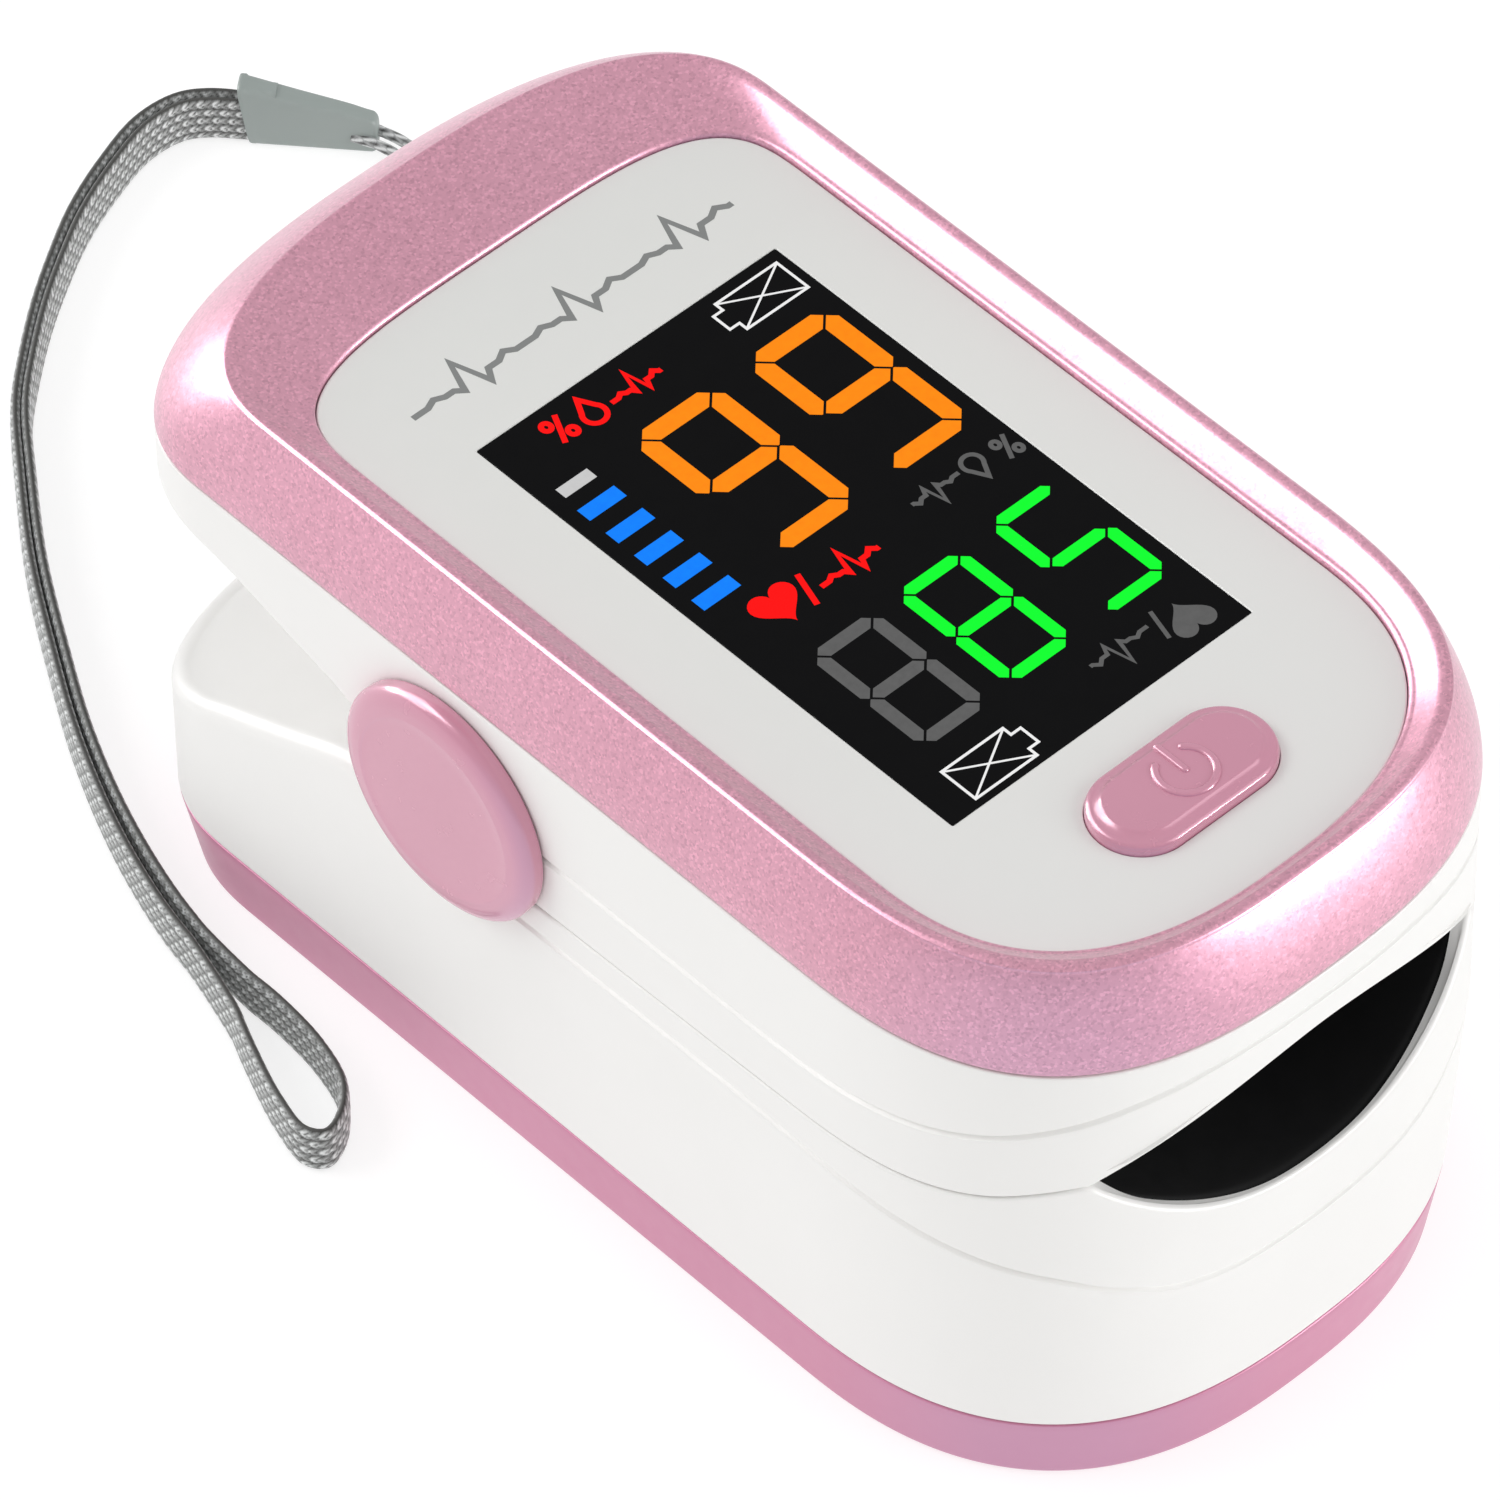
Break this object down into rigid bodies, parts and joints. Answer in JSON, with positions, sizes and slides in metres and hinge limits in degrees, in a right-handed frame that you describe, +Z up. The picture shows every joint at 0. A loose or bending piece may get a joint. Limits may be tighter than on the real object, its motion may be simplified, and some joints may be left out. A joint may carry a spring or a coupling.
{
  "type": "fingertip pulse oximeter",
  "caption": "Fingertip pulse oximeter: two sprung jaws on a side pivot, bezelled display, press-down power button, sliding battery door and a woven wrist lanyard.",
  "frame": {"origin": "centre of the object's footprint, on the surface it stands on", "axes": "+Z up; Y along the body, the finger enters the -Y end pointing +Y; +X to the right when looking along +Y"},
  "size_m": [0.0451, 0.089, 0.0322],
  "materials": {
    "white_plastic": "satin moulded white ABS",
    "pearl_pink": "pearlescent pink lacquer with fine metallic flake",
    "gloss_pink": "glossy pink ABS",
    "panel_grey": "pale warm grey face panel, smooth satin",
    "display_black": "smoked black display window with lit segments",
    "black_plastic": "matt black",
    "circuit_board": "green solder mask",
    "black_silicone": "soft matt black silicone",
    "emitter_white": "milky moulded package",
    "flex_film": "amber polyimide film",
    "battery_jacket": "plain printed foil jacket",
    "grey_cord": "woven grey polyester",
    "grey_plastic": "satin grey PVC",
    "steel": "nickel plated"
  },
  "bodies": {
    "lower_jaw": {"lower_shell": "white_plastic", "base_cover": "gloss_pink", "base_screw_1": "steel", "base_screw_2": "steel", "base_screw_3": "steel", "base_screw_4": "steel", "lower_finger_pad": "black_silicone", "sensor_board": "circuit_board", "flex_cable": "flex_film", "photodiode": "black_plastic", "battery_left": "battery_jacket", "battery_right": "battery_jacket", "front_contact_bridge": "steel", "rear_contact_left": "steel", "rear_contact_right": "steel", "battery_spring_left": "steel", "battery_spring_right": "steel", "hinge_pin_left": "steel", "pivot_cap_left": "gloss_pink", "torsion_spring_left": "steel", "hinge_pin_right": "steel", "pivot_cap_right": "gloss_pink", "torsion_spring_right": "steel", "lanyard_pin": "steel", "lanyard_string": "grey_cord", "lanyard_sleeve": "grey_plastic", "wrist_strap": "grey_cord"},
    "upper_jaw": {"upper_shell": "white_plastic", "top_bezel": "pearl_pink", "face_panel": "panel_grey", "display_window": "display_black", "display_module": "black_plastic", "main_pcb": "circuit_board", "pcb_screw_left": "steel", "pcb_screw_right": "steel", "tact_switch": "black_plastic", "led_emitter": "emitter_white", "microcontroller": "black_plastic", "upper_finger_pad": "black_silicone"},
    "button": {"power_button": "gloss_pink"},
    "door": {"battery_door": "gloss_pink"}
  },
  "joints": [
    {"name": "jaw_pivot", "type": "hinge", "parent": "lower_jaw", "child": "upper_jaw", "pos_m": [0, 0.0059, 0.0205], "axis": [-1, 0, 0], "range_deg": [0, 25], "stiffness_Nm_per_rad": 0.1, "springref_deg": -25.78, "deforming": ["torsion_spring_left", "torsion_spring_right", "flex_cable"]},
    {"name": "power_press", "type": "slide", "parent": "upper_jaw", "child": "button", "axis": [0, 0, -1], "range_m": [0, 0.0004], "stiffness_N_per_m": 2500, "springref_m": -0.0002},
    {"name": "battery_door_slide", "type": "slide", "parent": "lower_jaw", "child": "door", "axis": [0, 1, 0], "range_m": [0, 0.006]}
  ]
}
